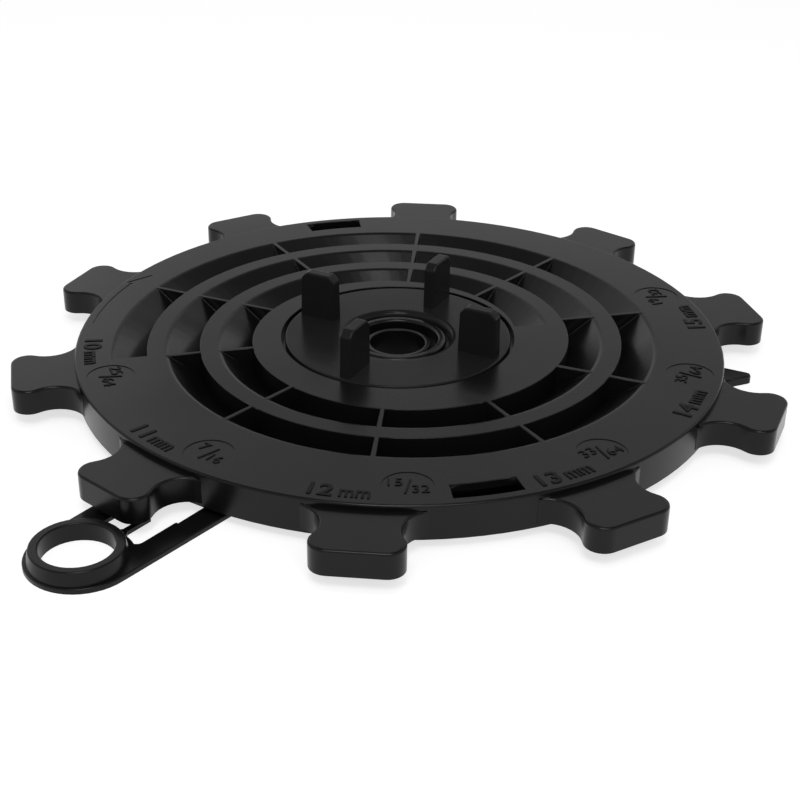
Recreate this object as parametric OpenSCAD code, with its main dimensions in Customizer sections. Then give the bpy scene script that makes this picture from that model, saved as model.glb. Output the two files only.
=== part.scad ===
// Low adjustable pedestal for raised paving and decking, all in millimetres.
// A turning head rides on a spiral ramp of the base, so that turning it
// clockwise lifts it. The centre bush slides in the base and carries the head
// and the joint spacer. The origin is on the turning axis at the floor.

/* [Head] */
// radius of the head's disc
head_radius = 80; // [65:0.5:110]
// height of the paving face with the head screwed right down
low_height = 10; // [9:0.5:12]
// depth of the skirt below the paving face
skirt_depth = 8.4; // [7:0.1:8.8]
// thickness of the skirt
skirt_wall = 1.8; // [1.2:0.1:3]
// thickness of the head's flat top
top_wall = 1.8; // [1.2:0.1:2.2]
// head turned clockwise from its lowest place, in degrees
head_turn = 39.3; // [0:0.1:180]

/* [Lugs] */
// number of grip lugs round the head
lug_count = 10; // [6:1:14]
// radius reached by the lug tips
lug_reach = 95.3; // [80:0.1:130]
// width of a lug across its tip
lug_width = 20; // [12:0.5:26]
// width of a lug across its neck
neck_width = 17; // [9:0.5:22]
// round of the lug's outer corners
lug_corner = 4; // [2:0.25:6]
// step from the paving face down to the lug
lug_drop = 1.4; // [0.5:0.1:2.5]
// thickness of a lug
lug_thick = 6.1; // [3:0.1:7]
// wall left round the hollow under a lug
lug_wall = 2; // [1.2:0.1:3]

/* [Spiral ramp] */
// distance between two turns of the spiral
pitch = 13; // [10:0.25:16]
// rise of the head in one full turn
lead = 10; // [5:0.25:12]
// groove radius where the spiral begins
spiral_inner = 30.1; // [30:0.1:34]
// turns of the groove in the head
groove_turns = 2.5; // [1.5:0.1:2.7]
// width of the groove at the paving face
groove_width = 8.1; // [5:0.1:9]
// thickness of the groove's standing wall
groove_wall = 1.6; // [1:0.1:2.5]
// thickness of the groove's sloped flank, measured upright
flank_wall = 1.9; // [1.2:0.1:2.2]
// thickness of the ribs across the groove
rib_thick = 1.1; // [0.8:0.1:2]
// clearance between the head's flank and the base's ramp
ramp_gap = 0.15; // [0.1:0.05:0.4]
// clearance between the upright walls of head and base
wall_gap = 0.3; // [0.2:0.05:0.8]

/* [Windows] */
// inner radius of the two windows near the rim
window_inner = 72.4; // [60:0.1:90]
// outer radius of the two windows
window_outer = 77.6; // [62:0.1:95]
// angle spanned by a window
window_angle = 11.5; // [6:0.5:20]
// angle by which the windows stand past the middle between two lugs
window_lead = 1.3; // [-5:0.1:5]

/* [Marks] */
// number of settings on the scale
mark_count = 6; // [3:1:8]
// radius of the round sunk field of an inch mark
mark_radius = 5.7; // [4:0.1:7]
// distance from the axis to an inch mark
mark_reach = 72.3; // [60:0.1:85]
// angle from a lug to its inch mark
mark_angle = 6.7; // [4:0.1:12]
// depth of the sunk marks
mark_depth = 0.15; // [0.1:0.05:0.4]
// distance from the axis to the turning arrow
arrow_reach = 77.5; // [60:0.1:90]
// width of the arrow's stroke
arrow_stroke = 0.6; // [0.4:0.1:1.5]
// angle spanned by the arrow's shaft
arrow_angle = 19; // [8:0.5:30]
// length of the arrow's barb
arrow_barb = 7.6; // [3:0.1:10]

/* [Joint spacer] */
// radius of the spacer disc
spacer_radius = 28.2; // [20:0.1:29]
// thickness of the spacer disc
spacer_thick = 2.2; // [1.5:0.1:3]
// clearance round the spacer disc
spacer_gap = 0.9; // [0.3:0.05:1]
// radius of the rounded opening in the spacer
spacer_mouth = 14.7; // [13.6:0.1:16]
// round of the opening's edge
mouth_round = 1.5; // [0.5:0.1:2]
// thickness of the tabs, equal to the paving joint
tab_thick = 3; // [2:0.5:5]
// radial length of a tab
tab_length = 10.2; // [6:0.1:14]
// height of a tab above the paving face
tab_height = 12; // [6:0.5:20]
// distance from the axis to the outer end of a tab
tab_reach = 27.3; // [20:0.1:28]
// slope cut off the tab's upper corners
tab_bevel = 1.5; // [0.5:0.1:3]
// slope of the tab's ends, from foot to top
tab_draft = 0.3; // [0:0.1:0.8]
// spacer turned round the axis, in degrees
spacer_turn = 10.4; // [0:0.1:90]

/* [Centre bush] */
// radius of the bush's rounded rim
rim_radius = 12.2; // [11.9:0.1:13]
// depth of the rim below the paving face
rim_drop = 0.8; // [0.2:0.1:1.5]
// radius of the bush's tube
bush_radius = 11.2; // [10:0.1:11.2]
// wall of the bush's tube
bush_wall = 1.2; // [1:0.1:1.6]
// radius of the hole in the bush
bush_hole = 6.9; // [4:0.1:7]
// wall of the collar round the hole
collar_wall = 1.25; // [1:0.05:1.6]
// depth of the collar below the paving face
collar_drop = 2.2; // [1.5:0.1:3]
// depth of the groove round the collar, below the paving face
moat_depth = 4; // [3.5:0.1:5]
// thickness of the web between the tube and the collar
bush_web = 1.4; // [1:0.1:2.5]
// clearance round the bush's tube
bush_gap = 0.3; // [0.15:0.05:0.6]

/* [Base] */
// thickness of the base plate and the arm
plate = 1.2; // [1:0.1:1.5]
// clearance between the base plate and the skirt
plate_gap = 2.5; // [0.3:0.1:4]
// wall of the base's guide round the bush
guide_wall = 1.6; // [1:0.1:3]
// wall of the hollow ramp
ramp_wall = 1.6; // [1.2:0.1:2.5]

/* [Ring arm] */
// angle by which the arm leads the start of the ramp
arm_lead = 0.4; // [-2:0.1:2]
// extra half width of the arm at the base plate
arm_flare = 0.9; // [0:0.1:2]
// clearance between the ring and the passing lugs
ring_gap = 1.4; // [0.3:0.1:3]
// radius of the finger hole in the ring
ring_hole = 8; // [5:0.1:9]
// radius of the raised ring at its foot
ring_radius = 10.9; // [9:0.1:14]
// slope of the ring's side, from foot to top
ring_draft = 0.9; // [0:0.1:1.2]
// height of the raised ring
ring_height = 4.3; // [2:0.1:6]
// width of the flat flange round the ring
flange_width = 1.2; // [0.8:0.1:5]
// distance the flange's round end stands back from the ring
flange_back = 0.9; // [0:0.1:2]
// width of the slot between the two rails
slot_width = 12.4; // [6:0.1:16]
// extra slot width under the head
slot_step = 1.2; // [0:0.1:3]
// flat land between the ring and the slot
slot_land = 1.1; // [0.5:0.1:2]
// corner round at the end of the slot
slot_round = 1.5; // [0.5:0.1:3]
// width of the pointer in the slot
pointer_width = 1.4; // [1:0.1:3]
// width of the pointer's flared root
pointer_root = 3.6; // [2:0.1:6]
// length of the pointer
pointer_length = 8; // [3:0.5:12]

/* [Index tab] */
// angle from the arm to the index tab
index_angle = 126; // [100:1:140]
// width of the index tab at the skirt
index_width = 8.6; // [5:0.1:12]
// width of the index tab at its tip
index_tip = 2.2; // [1:0.1:4]
// length of the index tab outside the skirt
index_length = 8.4; // [4:0.1:12]
// thickness of the index tab outside the skirt
index_thick = 2.2; // [1.2:0.1:2.3]

/* [Hidden] */
$fn = 128;
cut = 0.2;
lug_step = 360 / lug_count;
slope = lead / pitch;
top_height = low_height + lead * head_turn / 360;
arm_angle = 270;
lug_bottom = lug_drop + lug_thick;
groove_depth = groove_width * slope;
spiral_depth = groove_depth + flank_wall;
spiral_start = 90;
spiral_end = spiral_start + 360 * groove_turns;
start_lead = 3;
ramp_lead = 2;
ramp_end = spiral_end - 180 - 3;
sweep_step = 4;
land_edge = groove_width + (flank_wall - top_wall) / slope;
cavity_edge = pitch - groove_wall;
skirt_inner = head_radius - skirt_wall;
seat_radius = spacer_radius + spacer_gap;
seat_depth = spacer_thick + 0.1;
seat_floor = 1.7;
seat_wall = 1.7;
bush_bore = bush_radius + bush_gap;
bush_length = low_height - 0.3;
ramp_top = low_height - top_wall - wall_gap;
ramp_foot = low_height - spiral_depth - ramp_gap;
base_radius = skirt_inner - plate_gap;
guide_top = low_height - seat_depth - seat_floor - wall_gap;
ring_centre = lug_reach + ring_gap + ring_radius;
arm_half = ring_radius + flange_width;
slot_end = sqrt(pow(ring_radius + slot_land, 2) - pow(slot_width / 2 - slot_round / 2, 2));

// radius of the spiral's standing wall at an angle of the head
function spiral(angle) = spiral_inner + pitch * (angle - spiral_start) / 360;

// points of an arc, for outlines
function arc(x, y, r, from, to, n = 10) =
    [for (i = [0:n]) [x + r * cos(from + (to - from) * i / n), y + r * sin(from + (to - from) * i / n)]];

// sweep a section along the spiral: each corner is [follows the spiral 1 or 0, radius, height]
module sweep(from, to, section) {
    steps = ceil((to - from) / sweep_step);
    n = len(section);
    points = [
        for (i = [0:steps])
            let (angle = from + (to - from) * i / steps)
                for (corner = section)
                    let (r = corner[0] * spiral(angle) + corner[1])
                        [r * cos(angle), r * sin(angle), corner[2]]
    ];
    sides = [
        for (i = [0:steps - 1], j = [0:n - 1])
            let (k = (j + 1) % n)
                each [
                    [i * n + j, i * n + k, (i + 1) * n + k],
                    [i * n + j, (i + 1) * n + k, (i + 1) * n + j]
                ]
    ];
    first = [for (j = [n - 1:-1:0]) j];
    last = [for (j = [0:n - 1]) steps * n + j];
    polyhedron(points, concat(sides, [first, last]), convexity = 8);
}

// flat ring between two radii
module ring(outer, inner, bottom, height) {
    translate([0, 0, bottom])
        linear_extrude(height)
            difference() {
                circle(outer);
                circle(inner);
            }
}

// outline of one lug along +X, drawn in from its edge by a wall
module lug_outline(inset = 0) {
    corner_x = lug_reach - lug_corner;
    corner_y = lug_width / 2 - lug_corner;
    neck = neck_width / 2;
    // the neck's hollow is tangent to the corner round and to the rim
    near = head_radius * head_radius - neck * neck;
    far = near + corner_x * corner_x + (neck - corner_y) * (neck - corner_y) - lug_corner * lug_corner;
    open = 2 * (head_radius - lug_width / 2);
    lean = 2 * (head_radius - neck);
    b = far * open - 2 * corner_x * corner_x * lean;
    c = far * far - 4 * corner_x * corner_x * near;
    hollow = (-b - sqrt(max(0, b * b - open * open * c))) / (open * open);
    hollow_x = sqrt(near + lean * hollow);
    hollow_y = neck + hollow;
    meet = atan2(hollow_y - corner_y, hollow_x - corner_x);
    rim = atan2(hollow_y, hollow_x);
    upper = concat(
        arc(corner_x, corner_y, lug_corner - inset, 0, meet),
        arc(hollow_x, hollow_y, hollow + inset, meet - 180, rim - 180 + 8)
    );
    end = upper[len(upper) - 1];
    root = min(head_radius - skirt_wall / 2, norm(end) - 0.4);
    foot = atan2(end[1], end[0]);
    half = concat(upper, arc(0, 0, root, foot, foot / 8, 5));
    polygon(concat(half, [for (i = [len(half) - 1:-1:0]) [half[i][0], -half[i][1]]]));
}

// flat wedge of a ring, for the windows
module sector(inner, outer, angle, bottom, height) {
    translate([0, 0, bottom])
        rotate([0, 0, -angle / 2])
            rotate_extrude(angle = angle)
                translate([inner, 0])
                    square([outer - inner, height]);
}

// one lug along +X with the hollow under it
module lug() {
    translate([0, 0, -lug_bottom])
        difference() {
            linear_extrude(lug_thick)
                lug_outline();
            translate([0, 0, -cut])
                linear_extrude(lug_thick - lug_wall + cut)
                    intersection() {
                        lug_outline(lug_wall);
                        translate([head_radius, -lug_width])
                            square(2 * lug_width);
                    }
        }
}

// pockets of the spiral groove, parted by the ribs
module groove() {
    rise = cut / slope;
    for (i = [0:round((spiral_end - spiral_start) / lug_step) - 1]) {
        from = spiral_start + i * lug_step;
        rib = rib_thick / 2 / (spiral(from + lug_step / 2) + groove_width / 2) * 180 / PI;
        lead_in = i == 0 ? start_lead : -rib;
        sweep(from - lead_in, from + lug_step - rib, [
            [1, 0, -groove_depth],
            [1, groove_width + rise, cut],
            [1, 0, cut]
        ]);
    }
}

// hollow under the groove that takes the base's ramp
module cavity() {
    deep = skirt_depth + cut;
    toe = (deep - spiral_depth) / slope;
    rim = skirt_inner - 3;
    turn = spiral_end - 356;
    sweep(spiral_start - start_lead, turn, [
        [1, -toe, -deep],
        [1, cavity_edge, -deep],
        [1, cavity_edge, -top_wall],
        [1, land_edge, -top_wall]
    ]);
    sweep(turn, spiral_end, [
        [1, -toe, -deep],
        [0, rim, -deep],
        [0, rim, -top_wall],
        [1, land_edge, -top_wall]
    ]);
    // hollow under the wide land inside the first turn
    sweep(spiral_start + 70, spiral_start + 354, [
        [0, seat_radius + seat_wall, -deep],
        [1, -groove_wall, -deep],
        [1, -groove_wall, -top_wall],
        [0, seat_radius + seat_wall, -top_wall]
    ]);
    ring(skirt_inner, rim - 0.5, -deep, deep - top_wall);
}

// sunk fields of the inch marks and the arrow that shows which way lifts the head
module marks() {
    for (i = [0:mark_count - 1])
        rotate([0, 0, arm_angle + i * lug_step + mark_angle])
            translate([mark_reach, 0, -mark_depth])
                cylinder(h = mark_depth + cut, r = mark_radius);
    rotate([0, 0, arm_angle - lug_step + arrow_angle / 2 + 0.5]) {
        sector(arrow_reach - arrow_stroke / 2, arrow_reach + arrow_stroke / 2, arrow_angle,
            -mark_depth, mark_depth + cut);
        rotate([0, 0, -arrow_angle / 2])
            translate([arrow_reach + 1.2, 0, -mark_depth])
                rotate([0, 0, -118])
                    translate([0, -arrow_stroke / 2, 0])
                        cube([arrow_barb, arrow_stroke, mark_depth + cut]);
    }
}

// turning head, drawn with its paving face at zero
module head_part() {
    difference() {
        union() {
            ring(head_radius, 0, -skirt_depth, skirt_depth);
            for (i = [0:lug_count - 1])
                rotate([0, 0, arm_angle + i * lug_step])
                    lug();
        }
        groove();
        cavity();
        translate([0, 0, -skirt_depth - cut])
            cylinder(h = skirt_depth + 2 * cut, r = bush_bore);
        translate([0, 0, -seat_depth])
            cylinder(h = seat_depth + cut, r = seat_radius);
        translate([0, 0, -skirt_depth - cut])
            cylinder(h = skirt_depth + cut - seat_depth - seat_floor, r = seat_radius - seat_wall);
        // the spiral walls end a little above the skirt
        ring(skirt_inner, seat_radius - seat_wall - 1, -skirt_depth - cut, skirt_depth + cut - spiral_depth);
        marks();
        for (side = [0, 180])
            rotate([0, 0, arm_angle + 2.5 * lug_step + window_lead + side])
                sector(window_inner, window_outer, window_angle, -top_wall - cut, top_wall + 2 * cut);
    }
}

// plate under the spiral, the hollow ramp and the guide for the bush
module base_ramp() {
    from = spiral_start - start_lead + ramp_lead;
    sweep(from, ramp_end, [
        [1, wall_gap, plate / 2],
        [1, cavity_edge - wall_gap, plate / 2],
        [1, cavity_edge - wall_gap, ramp_top],
        [1, (ramp_top - ramp_foot) / slope, ramp_top],
        [1, wall_gap, ramp_foot + wall_gap * slope]
    ]);
}

// hollow under the ramp, closed at both ends
module base_ramp_hollow() {
    from = spiral_start - start_lead + ramp_lead + 3;
    foot = ramp_foot - 1.2 * ramp_wall;
    roof = ramp_top - ramp_wall;
    sweep(from, ramp_end - 1.5, [
        [1, max(1.2, (-cut - foot) / slope), -cut],
        [1, cavity_edge - wall_gap - ramp_wall, -cut],
        [1, cavity_edge - wall_gap - ramp_wall, roof],
        [1, (roof - foot) / slope, roof]
    ]);
}

// slot between the rails, wider under the head and round in its far corners
module arm_slot() {
    start = base_radius + 0.5;
    end = ring_centre - slot_end;
    half = slot_width / 2;
    translate([start, -half])
        square([end - slot_round - start, slot_width]);
    translate([start, slot_round - half])
        square([end - start, slot_width - 2 * slot_round]);
    for (side = [-1, 1])
        translate([end - slot_round, side * (half - slot_round)])
            circle(slot_round);
    translate([start, -half - slot_step / 2])
        square([head_radius + 5 - base_radius, slot_width + slot_step]);
}

// outline of the arm with its slot and pointer, along +X
module arm_outline() {
    difference() {
        union() {
            polygon([
                [base_radius - 12, -arm_half - arm_flare],
                [ring_centre - flange_back, -arm_half],
                [ring_centre - flange_back, arm_half],
                [base_radius - 12, arm_half + arm_flare]
            ]);
            translate([ring_centre - flange_back, 0])
                circle(arm_half);
        }
        difference() {
            arm_slot();
            translate([ring_centre, 0])
                circle(ring_radius + slot_land);
            // pointer that the lugs are read against
            translate([ring_centre - ring_radius - slot_land, 0])
                polygon([
                    [1, -pointer_root / 2],
                    [1, pointer_root / 2],
                    [-0.2, pointer_root / 2 - 0.3],
                    [-1.2, pointer_width / 2],
                    [-pointer_length, pointer_width / 2],
                    [-pointer_length, -pointer_width / 2],
                    [-1.2, -pointer_width / 2],
                    [-0.2, -pointer_root / 2 + 0.3]
                ]);
        }
        translate([ring_centre, 0])
            circle(ring_hole);
    }
}

// pointed index tab along +X, thin under the skirt
module index_tab() {
    outside = head_radius + 0.6;
    tip = head_radius + index_length;
    linear_extrude(plate)
        translate([base_radius - 6, -index_width / 2])
            square([outside - base_radius + 7, index_width]);
    linear_extrude(index_thick)
        polygon([
            [outside, -index_width / 2],
            [tip - 0.7, -index_tip / 2],
            [tip, -index_tip / 4],
            [tip, index_tip / 4],
            [tip - 0.7, index_tip / 2],
            [outside, index_width / 2]
        ]);
}

module base() {
    color([0.05, 0.05, 0.05])
        difference() {
            union() {
                linear_extrude(plate)
                    circle(base_radius);
                base_ramp();
                cylinder(h = guide_top, r = bush_bore + guide_wall);
                rotate([0, 0, arm_angle + arm_lead]) {
                    linear_extrude(plate)
                        arm_outline();
                    translate([ring_centre, 0, 0])
                        difference() {
                            cylinder(h = ring_height, r1 = ring_radius, r2 = ring_radius - ring_draft);
                            translate([0, 0, -cut])
                                cylinder(h = ring_height + 2 * cut, r = ring_hole);
                        }
                }
                rotate([0, 0, arm_angle + index_angle])
                    index_tab();
            }
            base_ramp_hollow();
            translate([0, 0, -cut])
                cylinder(h = guide_top + 2 * cut, r = bush_bore);
        }
}

module centre_bush() {
    seat = -seat_depth;
    inner = bush_radius - bush_wall;
    round = 0.75;
    color([0.07, 0.07, 0.07])
        translate([0, 0, top_height])
            rotate_extrude() {
                translate([inner, -bush_length])
                    square([bush_wall, bush_length - rim_drop - round]);
                translate([bush_hole, -moat_depth - bush_web])
                    square([inner + bush_wall / 2 - bush_hole, bush_web]);
                translate([bush_hole, -bush_length])
                    square([collar_wall, bush_length - collar_drop]);
                translate([inner, seat])
                    square([rim_radius - inner, -rim_drop - round - seat]);
                translate([inner + round, -rim_drop - round])
                    square([rim_radius - inner - 2 * round, round]);
                for (x = [inner + round, rim_radius - round])
                    translate([x, -rim_drop - round])
                        circle(round, $fn = 32);
            }
}

module head() {
    color([0.06, 0.06, 0.06])
        translate([0, 0, top_height])
            rotate([0, 0, -head_turn])
                head_part();
}

// one spacer tab along +X, standing on the disc
module tab() {
    translate([0, tab_thick / 2, 0])
        rotate([90, 0, 0])
            linear_extrude(tab_thick)
                polygon([
                    [tab_reach - tab_length, -spacer_thick / 2],
                    [tab_reach, -spacer_thick / 2],
                    [tab_reach - tab_draft, tab_height - tab_bevel],
                    [tab_reach - tab_draft - tab_bevel, tab_height],
                    [tab_reach - tab_length + tab_draft + tab_bevel, tab_height],
                    [tab_reach - tab_length + tab_draft, tab_height - tab_bevel]
                ]);
}

module spacer() {
    color([0.06, 0.06, 0.065])
        translate([0, 0, top_height])
            rotate([0, 0, spacer_turn])
                union() {
                    rotate_extrude()
                        difference() {
                            translate([spacer_mouth - mouth_round, -spacer_thick])
                                square([spacer_radius - spacer_mouth + mouth_round, spacer_thick]);
                            translate([spacer_mouth - mouth_round - cut, -mouth_round])
                                difference() {
                                    square([mouth_round + cut, mouth_round + cut]);
                                    translate([mouth_round + cut, 0])
                                        circle(mouth_round, $fn = 48);
                                }
                        }
                    for (i = [0:3])
                        rotate([0, 0, i * 90])
                            tab();
                }
}

base();
centre_bush();
head();
spacer();
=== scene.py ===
"""Looks of the decking pedestal: satin black plastic with moulded scale marks, on a white floor."""

import math

import bpy
from mathutils import Matrix, Vector


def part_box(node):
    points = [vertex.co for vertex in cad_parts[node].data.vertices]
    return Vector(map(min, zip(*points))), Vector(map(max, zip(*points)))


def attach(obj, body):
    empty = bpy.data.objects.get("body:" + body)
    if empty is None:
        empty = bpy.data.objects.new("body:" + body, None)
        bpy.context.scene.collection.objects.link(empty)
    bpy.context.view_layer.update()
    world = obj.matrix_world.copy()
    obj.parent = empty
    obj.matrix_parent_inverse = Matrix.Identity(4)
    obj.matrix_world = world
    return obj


MM = 0.001

# where the head stands, and the lug of the lowest setting
HEAD_TURN = -39.3
ARM_ANGLE = 270.0
LUG_STEP = 36.0

# the plastics' tone, roughness and sheen
BLACK = (0.005, 0.005, 0.0053)
SPACER_BLACK = (0.014, 0.014, 0.0143)
PLASTICS = {
    "base": ("base_plastic", BLACK, 0.28, 0.23),
    "centre_bush": ("bush_plastic", BLACK, 0.26, 0.24),
    "head": ("head_plastic", BLACK, 0.24, 0.23),
    "spacer": ("spacer_plastic", SPACER_BLACK, 0.2, 0.1),
}
MARK_PLASTIC = ("mark_plastic", BLACK, 0.4, 0.11)
PLASTIC_IOR = 1.49

# mottling of the tone and the gloss: size of the cloud, and how far each goes either way
MOTTLE_SCALE, MOTTLE_DETAIL = 28.0, 5.0
TONE_FROM, TONE_TO = (0.3, 0.82), (0.72, 1.18)
GLOSS_FROM, GLOSS_TO = (0.3, -0.04), (0.7, 0.05)

# fine grain of the moulded surface
GRAIN_SCALE, GRAIN_DETAIL = 2600.0, 2.0
GRAIN_STRENGTH, GRAIN_DEPTH = 0.12, 0.03

# edge rounds of the mouldings, in millimetres: crisp inside the rim, soft where a flank meets
# a land, small at the roots of the ribs and fine at shallow marks
EDGE_ROUND = {"base": 0.35, "centre_bush": 0.25, "head": 0.6, "spacer": 0.45}
SOFT_ROUND = 0.65
ROOT_ROUND = 0.25
INNER_ROUND = 0.2
FINE_ROUND = 0.05
WIDEST_ROUND = 1.0
ROUND_STEPS = 3
RIM_ZONE = 79.0
SHALLOW = 0.3
SHARP_ANGLE = 28.0
SOFT_ANGLE = 45.0
SHELLS = ("base", "head")

# rise of a face's normal: level or below it, upright walls, and the flanks of the groove
LEVEL_RISE = 0.3
WALL_RISE = 0.5
FLANK_RISE = (0.5, 0.95)
RIB_ACROSS = 0.5

# clean-up of the CAD meshes ahead of the rounds
WELD_REACH = 0.02
FLAT_ANGLE = 0.05
NORMAL_WEIGHT = 50

# moulded scale marks: setting in millimetres and the same height in inches
SCALE = [("10", "25", "64"), ("11", "7", "16"), ("12", "15", "32"),
         ("13", "33", "64"), ("14", "35", "64"), ("15", "19", "32")]
MARK_RAISE = 0.15
MARK_BEVEL = 0.04
MARK_STEPS = 3
SETTING_RADIUS, SETTING_SHIFT = 75.65, -7.1
SETTING_SIZE, SETTING_SQUEEZE, SETTING_WEIGHT = 6.15, 1.08, 0.08
UNIT_RADIUS, UNIT_SHIFT = 76.25, -1.65
UNIT_SIZE, UNIT_SQUEEZE = 5.65, 0.8
INCH_RADIUS, INCH_SHIFT = 72.3, 6.7
INCH_SIZE, INCH_WEIGHT = 4.1, -0.04
SLASH_SIZE = 7.7
# the 13 stands clear of a window
SETTING_MOVED = {"13": 0.9}
# widths and places of a fraction's two numbers and its stroke in the sunk field
OVER_SQUEEZE, SLASH_SQUEEZE, UNDER_SQUEEZE = 1.05, 0.85, 1.0
INCH_SINK = 0.15
OVER_PLACE = (-2.6, 1.7, -INCH_SINK)
SLASH_PLACE = (0, -0.1, -INCH_SINK)
UNDER_PLACE = (2.7, -1.0, -INCH_SINK)

# white floor: diffuse tone, glow away from the object, and the radii between which it sets in; the
# glow left out under the object is a painted shadow
FLOOR_SIZE = 6
FLOOR_DROP = 0.02
FLOOR_TONE = 0.5
FLOOR_GLOW = 0.7
PAINTED_SHADOW_INNER, PAINTED_SHADOW_OUTER = 0.03, 0.07

# light of the pale surroundings on the object
WORLD_LIGHT = 0.4
# what the plastic mirrors, by the height it looks up to: pale backdrop, darker gaps, ceiling
BACKDROP = [(0.0, 0.3), (0.15, 0.4), (0.26, 0.85), (0.351, 0.9), (0.374, 0.45), (0.393, 0.3),
            (0.421, 1.0), (0.4445, 0.4), (0.468, 0.05), (0.487, 0.05), (0.506, 1.0), (0.548, 1.0),
            (0.582, 0.4), (0.63, 0.9), (0.75, 0.2), (0.95, 0.25)]
# the backdrop hangs a little lower on the camera's left
BACKDROP_LEAN = 0.08
# soft lamps: spot as seen from the camera's side, size in metres and power in watts
LAMPS = [("overhead", (0.05, -0.12, 0.9), 0.12, 0.4),
         ("edge", (-0.05, -0.5, 0.75), 0.25, 2.0),
         ("left", (-0.45, 0.75, 0.45), 0.5, 0.22),
         ("front", (0.3, -0.8, 0.9), 0.3, 1.5)]

# the photograph's camera, measured from the middle of the paving face
CAMERA_DISTANCE = 374.5
CAMERA_AZIMUTH = 37.374
CAMERA_ELEVATION = 25.884
CAMERA_AIM = (-10.76, -39.67)
CAMERA_ROLL = -0.183
CAMERA_LENS = 67.15
CAMERA_SENSOR = 36
CAMERA_SHIFT = (0.0635, 0.012)
CAMERA_NEAR = 0.01


def node(tree, kind, **values):
    """Adds a shader node and sets its plain properties."""
    made = tree.nodes.new(kind)
    for key, value in values.items():
        setattr(made, key, value)
    return made


def plastic(name, tone, roughness, sheen):
    """Satin moulded plastic: faint mottling, fine grain and a little uneven gloss."""
    material = bpy.data.materials.new(name)
    material.use_nodes = True
    tree = material.node_tree
    shader = tree.nodes["Principled BSDF"]
    shader.inputs["IOR"].default_value = PLASTIC_IOR
    shader.inputs["Specular IOR Level"].default_value = sheen
    coords = node(tree, "ShaderNodeTexCoord")

    mottle = node(tree, "ShaderNodeTexNoise")
    mottle.inputs["Scale"].default_value = MOTTLE_SCALE
    mottle.inputs["Detail"].default_value = MOTTLE_DETAIL
    tree.links.new(coords.outputs["Object"], mottle.inputs["Vector"])
    shades = node(tree, "ShaderNodeValToRGB")
    for stop, (place, share) in zip(shades.color_ramp.elements, (TONE_FROM, TONE_TO)):
        stop.position = place
        stop.color = (*[share * t for t in tone], 1)
    tree.links.new(mottle.outputs["Fac"], shades.inputs["Fac"])
    tree.links.new(shades.outputs["Color"], shader.inputs["Base Color"])

    gloss = node(tree, "ShaderNodeMapRange")
    gloss.inputs["From Min"].default_value = GLOSS_FROM[0]
    gloss.inputs["From Max"].default_value = GLOSS_TO[0]
    gloss.inputs["To Min"].default_value = roughness + GLOSS_FROM[1]
    gloss.inputs["To Max"].default_value = roughness + GLOSS_TO[1]
    tree.links.new(mottle.outputs["Fac"], gloss.inputs["Value"])
    tree.links.new(gloss.outputs["Result"], shader.inputs["Roughness"])

    grain = node(tree, "ShaderNodeTexNoise")
    grain.inputs["Scale"].default_value = GRAIN_SCALE
    grain.inputs["Detail"].default_value = GRAIN_DETAIL
    tree.links.new(coords.outputs["Object"], grain.inputs["Vector"])
    bump = node(tree, "ShaderNodeBump")
    bump.inputs["Strength"].default_value = GRAIN_STRENGTH
    bump.inputs["Distance"].default_value = GRAIN_DEPTH * MM
    tree.links.new(grain.outputs["Fac"], bump.inputs["Height"])
    tree.links.new(bump.outputs["Normal"], shader.inputs["Normal"])
    return material


def edge_key(mesh, ends):
    """An edge by the places of its two ends, so that the edges of split faces share it."""
    return frozenset(tuple(round(value / MM, 4) for value in mesh.vertices[i].co) for i in ends)


def edge_sides(mesh):
    """The faces at each edge: their normal beside it, their far corner and their height."""
    sides = {}
    for face in mesh.polygons:
        points = [mesh.vertices[i].co for i in face.vertices]
        normals = [mesh.corner_normals[i].vector for i in face.loop_indices]
        height = max(p.z for p in points) - min(p.z for p in points)
        for k in range(len(points)):
            after = (k + 1) % len(points)
            side = ((normals[k] + normals[after]).normalized(), points[k - 1], height)
            key = edge_key(mesh, (face.vertices[k], face.vertices[after]))
            sides.setdefault(key, []).append(side)
    return sides


def rib_root(normal, other, middle):
    """Whether a hollow edge lies between the side of a rib and a sloping flank."""
    side, slope = sorted((normal, other), key=lambda facing: abs(facing.z))
    across = abs(side.xy.dot(middle.xy.normalized()))
    sloping = FLANK_RISE[0] < slope.z < FLANK_RISE[1]
    return abs(side.z) < LEVEL_RISE and sloping and across < RIB_ACROSS


def edge_round(sides, middle, width, shell):
    """Whether an edge is sharp, and its round.

    Shells have none underneath or in a hollow, apart from the roots of the ribs.
    """
    if len(sides) != 2:
        return False, 0.0
    (normal, _, high), (other, corner, tall) = sides
    angle = math.degrees(normal.angle(other, 0.0))
    if angle < SHARP_ANGLE:
        return False, 0.0
    rises = (normal.z, other.z)
    hollow = (corner - middle).dot(normal) > 0
    if shell and hollow and rib_root(normal, other, middle):
        return True, ROOT_ROUND
    if min(rises) < -LEVEL_RISE or (shell and (hollow or max(rises) < LEVEL_RISE)):
        return True, 0.0
    upright = [h for n, h in ((normal, high), (other, tall)) if abs(n.z) < WALL_RISE]
    if hollow or (upright and min(upright) < SHALLOW * MM):
        return True, FINE_ROUND
    if shell and angle < SOFT_ANGLE:
        return True, SOFT_ROUND
    inside = shell and middle.xy.length < RIM_ZONE * MM
    return True, INNER_ROUND if inside else width


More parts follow.
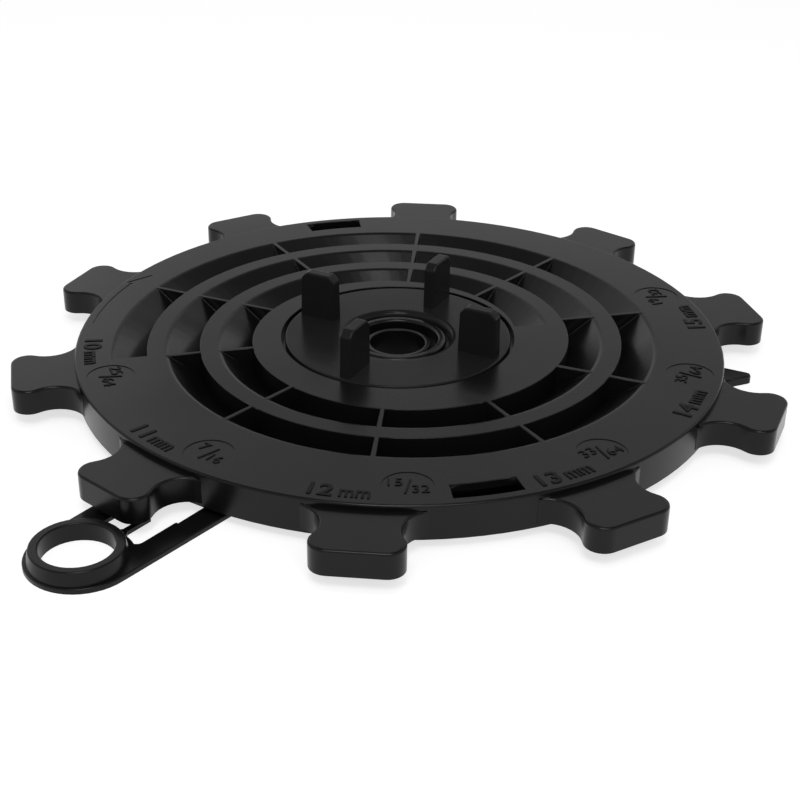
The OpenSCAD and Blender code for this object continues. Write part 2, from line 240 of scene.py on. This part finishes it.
def round_edges(part, width):
    """Rounds the sharp edges of a moulding; its CAD vertices stay where they are."""
    mesh = part.data
    sides = edge_sides(mesh)
    if "custom_normal" in mesh.attributes:
        mesh.attributes.remove(mesh.attributes["custom_normal"])
    for face in mesh.polygons:
        face.use_smooth = True
    weights = mesh.attributes.new("bevel_weight_edge", "FLOAT", "EDGE")
    for edge in mesh.edges:
        start, end = edge.vertices
        middle = (mesh.vertices[start].co + mesh.vertices[end].co) / 2
        faces = sides.get(edge_key(mesh, edge.vertices), [])
        sharp, round_width = edge_round(faces, middle, width, part.name in SHELLS)
        weights.data[edge.index].value = round_width / WIDEST_ROUND
        edge.use_edge_sharp = sharp and round_width == 0
    weld = part.modifiers.new("weld", "WELD")
    weld.merge_threshold = WELD_REACH * MM
    flat = part.modifiers.new("flat", "DECIMATE")
    flat.decimate_type = "DISSOLVE"
    flat.angle_limit = math.radians(FLAT_ANGLE)
    flat.delimit = {"SHARP"}
    # the bevel spans triangles and quads, and larger faces are split for it
    part.modifiers.new("facets", "TRIANGULATE").min_vertices = 5
    bevel = part.modifiers.new("round", "BEVEL")
    bevel.width = WIDEST_ROUND * MM
    bevel.segments = ROUND_STEPS
    bevel.limit_method = "WEIGHT"
    bevel.use_clamp_overlap = False
    bevel.loop_slide = False
    bevel.face_strength_mode = "FSTR_ALL"
    normals = part.modifiers.new("normals", "WEIGHTED_NORMAL")
    normals.weight = NORMAL_WEIGHT
    normals.keep_sharp = True
    normals.use_face_influence = True


def place_on_head(angle, radius):
    """Frame of a mark on the paving face, read from outside the disc."""
    at = math.radians(angle + HEAD_TURN)
    along = Vector((-math.sin(at), math.cos(at), 0))
    upright = Vector((-math.cos(at), -math.sin(at), 0))
    where = Vector((radius * math.cos(at) * MM, radius * math.sin(at) * MM, deck_top))
    turn = Matrix((along, upright, Vector((0, 0, 1)))).transposed().to_4x4()
    return Matrix.Translation(where) @ turn


def lettering(name, text, size, squeeze, weight, frame_at, shift=(0, 0, 0)):
    """Raised characters with their middle at the shift within a mark's frame."""
    curve = bpy.data.curves.new(name, "FONT")
    curve.body = text
    curve.size = size * MM
    curve.extrude = MARK_RAISE * MM
    curve.offset = weight * MM
    curve.bevel_depth = MARK_BEVEL * MM
    curve.resolution_u = MARK_STEPS
    letters = bpy.data.objects.new(name, curve)
    bpy.context.scene.collection.objects.link(letters)
    mesh = bpy.data.meshes.new_from_object(letters)
    bpy.data.objects.remove(letters)
    across = [vertex.co.x for vertex in mesh.vertices]
    along = [vertex.co.y for vertex in mesh.vertices]
    middle = Vector((min(across) + max(across), min(along) + max(along), 0)) / 2
    squeezed = Matrix.Diagonal((squeeze, 1, 1, 1)) @ Matrix.Translation(-middle)
    mesh.transform(frame_at @ Matrix.Translation(Vector(shift) * MM) @ squeezed)
    mark = bpy.data.objects.new(name, mesh)
    bpy.context.scene.collection.objects.link(mark)
    return mark


def scale_marks(material):
    """Settings and inch fractions beside their lugs."""
    marks = []
    for step, (setting, over, under) in enumerate(SCALE):
        lug = ARM_ANGLE + step * LUG_STEP
        moved = SETTING_MOVED.get(setting, 0.0)
        at = place_on_head(lug + SETTING_SHIFT + moved, SETTING_RADIUS)
        marks.append(lettering(f"setting_{setting}", setting, SETTING_SIZE, SETTING_SQUEEZE,
                               SETTING_WEIGHT, at))
        at = place_on_head(lug + UNIT_SHIFT + moved, UNIT_RADIUS)
        marks.append(lettering(f"unit_{setting}", "mm", UNIT_SIZE, UNIT_SQUEEZE,
                               SETTING_WEIGHT, at))
        at = place_on_head(lug + INCH_SHIFT, INCH_RADIUS)
        marks.append(lettering(f"over_{setting}", over, INCH_SIZE, OVER_SQUEEZE,
                               INCH_WEIGHT, at, OVER_PLACE))
        marks.append(lettering(f"slash_{setting}", "/", SLASH_SIZE, SLASH_SQUEEZE,
                               INCH_WEIGHT, at, SLASH_PLACE))
        marks.append(lettering(f"under_{setting}", under, INCH_SIZE, UNDER_SQUEEZE,
                               INCH_WEIGHT, at, UNDER_PLACE))
    for mark in marks:
        mark.data.materials.clear()
        mark.data.materials.append(material)
        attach(mark, "head")


def white_floor():
    """White floor that keeps the object's soft shadow, with a painted shadow right under the object
    where its glow is left out.
    """
    bpy.ops.mesh.primitive_plane_add(size=FLOOR_SIZE, location=(0, 0, -FLOOR_DROP * MM))
    floor = bpy.context.object
    floor.name = "floor"
    material = bpy.data.materials.new("white_floor")
    material.use_nodes = True
    tree = material.node_tree
    tree.nodes.remove(tree.nodes["Principled BSDF"])
    matt = node(tree, "ShaderNodeBsdfDiffuse")
    matt.inputs["Color"].default_value = (FLOOR_TONE, FLOOR_TONE, FLOOR_TONE, 1)
    glow = node(tree, "ShaderNodeEmission")
    path = node(tree, "ShaderNodeLightPath")
    seen = node(tree, "ShaderNodeMath", operation="MAXIMUM")
    tree.links.new(path.outputs["Is Camera Ray"], seen.inputs[0])
    tree.links.new(path.outputs["Is Glossy Ray"], seen.inputs[1])
    through = node(tree, "ShaderNodeMath", operation="MAXIMUM")
    tree.links.new(seen.outputs["Value"], through.inputs[0])
    tree.links.new(path.outputs["Is Transmission Ray"], through.inputs[1])
    coords = node(tree, "ShaderNodeTexCoord")
    reach = node(tree, "ShaderNodeVectorMath", operation="LENGTH")
    tree.links.new(coords.outputs["Object"], reach.inputs[0])
    # painted shadow: no glow within the inner radius, fading in out to the outer radius
    clear = node(tree, "ShaderNodeMapRange")
    clear.inputs["From Min"].default_value = PAINTED_SHADOW_INNER
    clear.inputs["From Max"].default_value = PAINTED_SHADOW_OUTER
    clear.inputs["To Max"].default_value = FLOOR_GLOW
    tree.links.new(reach.outputs["Value"], clear.inputs["Value"])
    lift = node(tree, "ShaderNodeMath", operation="MULTIPLY")
    tree.links.new(through.outputs["Value"], lift.inputs[0])
    tree.links.new(clear.outputs["Result"], lift.inputs[1])
    tree.links.new(lift.outputs["Value"], glow.inputs["Strength"])
    both = node(tree, "ShaderNodeAddShader")
    tree.links.new(matt.outputs["BSDF"], both.inputs[0])
    tree.links.new(glow.outputs["Emission"], both.inputs[1])
    tree.links.new(both.outputs["Shader"], tree.nodes["Material Output"].inputs["Surface"])
    floor.data.materials.append(material)


def softbox(name, spot, size, power):
    """Square soft lamp at a spot, facing the object, in metres and watts."""
    lamp = bpy.data.lights.new(name, "AREA")
    lamp.shape = "SQUARE"
    lamp.size = size
    lamp.energy = power
    light = bpy.data.objects.new(name, lamp)
    bpy.context.scene.collection.objects.link(light)
    light.location = spot
    light.rotation_euler = (-spot).to_track_quat("-Z", "Y").to_euler()


def studio():
    """Pale surroundings that the plastic mirrors by height, and the soft lamps."""
    world = bpy.data.worlds.new("studio")
    bpy.context.scene.world = world
    world.use_nodes = True
    tree = world.node_tree
    path = node(tree, "ShaderNodeLightPath")
    coords = node(tree, "ShaderNodeTexCoord")
    turn = Matrix.Rotation(math.radians(CAMERA_AZIMUTH), 4, "Z")
    height = node(tree, "ShaderNodeVectorMath", operation="DOT_PRODUCT")
    tree.links.new(coords.outputs["Generated"], height.inputs[0])
    height.inputs[1].default_value = turn @ Vector((BACKDROP_LEAN, 0, 1))
    fade = node(tree, "ShaderNodeValToRGB")
    lowest, highest = fade.color_ramp.elements
    lowest.position, highest.position = BACKDROP[0][0], BACKDROP[-1][0]
    for place, _ in BACKDROP[1:-1]:
        fade.color_ramp.elements.new(place)
    for stop, (_, level) in zip(fade.color_ramp.elements, BACKDROP):
        stop.color = (level, level, level, 1)
    tree.links.new(height.outputs["Value"], fade.inputs["Fac"])
    seen = node(tree, "ShaderNodeMath", operation="MAXIMUM")
    tree.links.new(path.outputs["Is Camera Ray"], seen.inputs[0])
    tree.links.new(path.outputs["Is Transmission Ray"], seen.inputs[1])
    plain = node(tree, "ShaderNodeMath", operation="MAXIMUM")
    plain.inputs[1].default_value = WORLD_LIGHT
    tree.links.new(seen.outputs["Value"], plain.inputs[0])
    # the mix node's number sockets: factor, plain light and mirrored backdrop
    strength = node(tree, "ShaderNodeMix", data_type="FLOAT")
    tree.links.new(path.outputs["Is Glossy Ray"], strength.inputs[0])
    tree.links.new(plain.outputs["Value"], strength.inputs[2])
    tree.links.new(fade.outputs["Color"], strength.inputs[3])
    background = tree.nodes["Background"]
    tree.links.new(strength.outputs[0], background.inputs["Strength"])
    background.inputs["Color"].default_value = (1, 1, 1, 1)
    for name, spot, size, power in LAMPS:
        softbox(name, turn @ Vector(spot), size, power)


def camera():
    """Camera at the photograph's viewing angle."""
    turn = Matrix.Rotation(math.radians(CAMERA_AZIMUTH), 4, "Z")
    centre = Vector((0, 0, deck_top / MM))
    tilt = math.radians(CAMERA_ELEVATION)
    away = Vector((0, -math.cos(tilt), math.sin(tilt))) * CAMERA_DISTANCE
    eye = (turn @ away + centre) * MM
    aim = (turn @ Vector((*CAMERA_AIM, 0)) + centre) * MM
    data = bpy.data.cameras.new("camera")
    data.lens = CAMERA_LENS
    data.sensor_width = CAMERA_SENSOR
    data.shift_x, data.shift_y = CAMERA_SHIFT
    data.clip_start = CAMERA_NEAR
    seen = bpy.data.objects.new("camera", data)
    bpy.context.scene.collection.objects.link(seen)
    facing = (aim - eye).to_track_quat("-Z", "Y").to_matrix().to_4x4()
    roll = Matrix.Rotation(math.radians(CAMERA_ROLL), 4, "Z")
    seen.matrix_world = Matrix.Translation(eye) @ facing @ roll
    bpy.context.scene.camera = seen


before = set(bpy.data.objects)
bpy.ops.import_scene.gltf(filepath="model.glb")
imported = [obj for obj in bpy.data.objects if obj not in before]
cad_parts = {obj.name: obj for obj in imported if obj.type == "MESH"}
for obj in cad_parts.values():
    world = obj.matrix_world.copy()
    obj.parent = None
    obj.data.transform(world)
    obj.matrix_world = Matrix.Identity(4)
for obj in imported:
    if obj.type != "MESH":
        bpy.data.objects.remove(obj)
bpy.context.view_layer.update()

deck_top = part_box("head")[1][2]

for name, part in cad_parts.items():
    part.data.materials.clear()
    part.data.materials.append(plastic(*PLASTICS[name]))
    round_edges(part, EDGE_ROUND[name])
scale_marks(plastic(*MARK_PLASTIC))

white_floor()
studio()
camera()
bpy.context.scene.view_settings.view_transform = "Standard"
